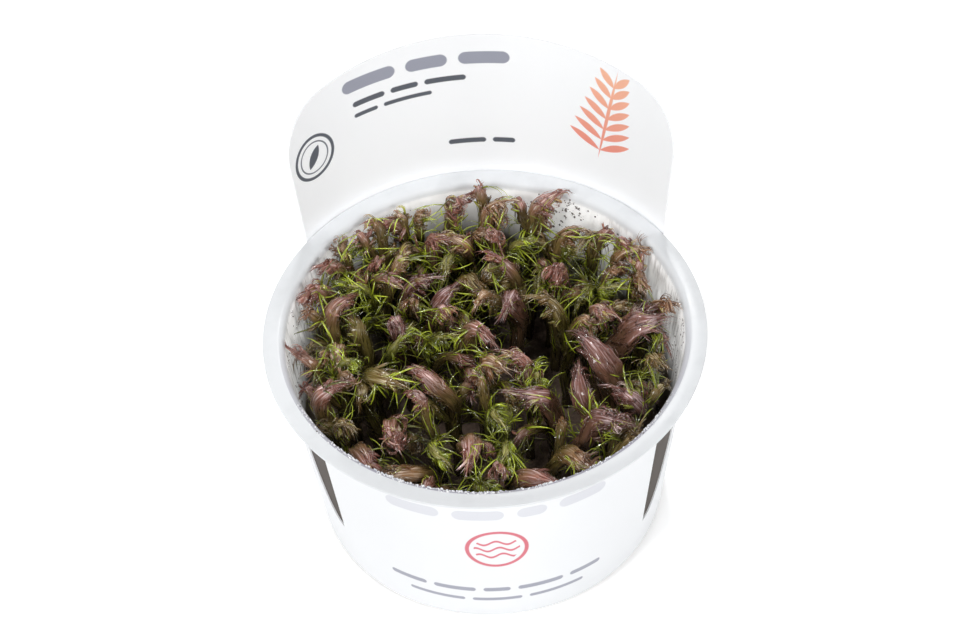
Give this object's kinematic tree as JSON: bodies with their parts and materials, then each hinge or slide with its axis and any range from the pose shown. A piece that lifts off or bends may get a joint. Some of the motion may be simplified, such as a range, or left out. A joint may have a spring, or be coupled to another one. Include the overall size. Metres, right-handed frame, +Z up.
{
  "type": "potted aquarium plant",
  "caption": "Crowd of young rotala shoots with fine needle leaves, growing from gel in a round clear tapered cup wrapped in a white sleeve that rises as a header.",
  "frame": {"origin": "centre of the underside of the cup's flat base", "axes": "+Z up along the cup's axis; -Y is the front; +Y points to the header at the back; +X is to the right seen from the front"},
  "size_m": [0.1, 0.105, 0.0944],
  "materials": {
    "clear_plastic": "milky clear, glossy",
    "white_card": "smooth white print stock, satin",
    "growing_gel": "wet and cloudy",
    "leaf_rose": "wet, dusty rose over brown",
    "leaf_green": "wet, yellow-green to olive"
  },
  "bodies": {
    "root": {"cup": "clear_plastic", "label_sleeve": "white_card", "growing_gel": "growing_gel", "shoot_01": "leaf_rose", "shoot_02": "leaf_green", "shoot_03": "leaf_green", "shoot_04": "leaf_rose", "shoot_05": "leaf_rose", "shoot_06": "leaf_rose", "shoot_07": "leaf_rose", "shoot_08": "leaf_green", "shoot_09": "leaf_green", "shoot_10": "leaf_rose", "shoot_11": "leaf_green", "shoot_12": "leaf_green", "shoot_13": "leaf_green", "shoot_14": "leaf_rose", "shoot_15": "leaf_rose", "shoot_16": "leaf_green", "shoot_17": "leaf_rose", "shoot_18": "leaf_rose", "shoot_19": "leaf_rose", "shoot_20": "leaf_rose", "shoot_21": "leaf_green", "shoot_22": "leaf_rose", "shoot_23": "leaf_green", "shoot_24": "leaf_green", "shoot_25": "leaf_green", "shoot_26": "leaf_green", "shoot_27": "leaf_green", "shoot_28": "leaf_rose", "shoot_29": "leaf_rose", "shoot_30": "leaf_rose", "shoot_31": "leaf_rose", "shoot_32": "leaf_rose", "shoot_33": "leaf_green", "shoot_34": "leaf_green", "shoot_35": "leaf_rose", "shoot_36": "leaf_green", "shoot_37": "leaf_rose", "shoot_38": "leaf_rose", "shoot_39": "leaf_rose", "shoot_40": "leaf_rose", "shoot_41": "leaf_rose", "shoot_42": "leaf_rose", "shoot_43": "leaf_rose", "shoot_44": "leaf_green", "shoot_45": "leaf_rose", "shoot_46": "leaf_green", "shoot_47": "leaf_rose", "shoot_48": "leaf_rose", "shoot_49": "leaf_rose", "shoot_50": "leaf_green", "shoot_51": "leaf_rose", "shoot_52": "leaf_rose", "shoot_53": "leaf_rose", "shoot_54": "leaf_rose", "shoot_55": "leaf_rose", "shoot_56": "leaf_green", "shoot_57": "leaf_green"}
  },
  "joints": []
}
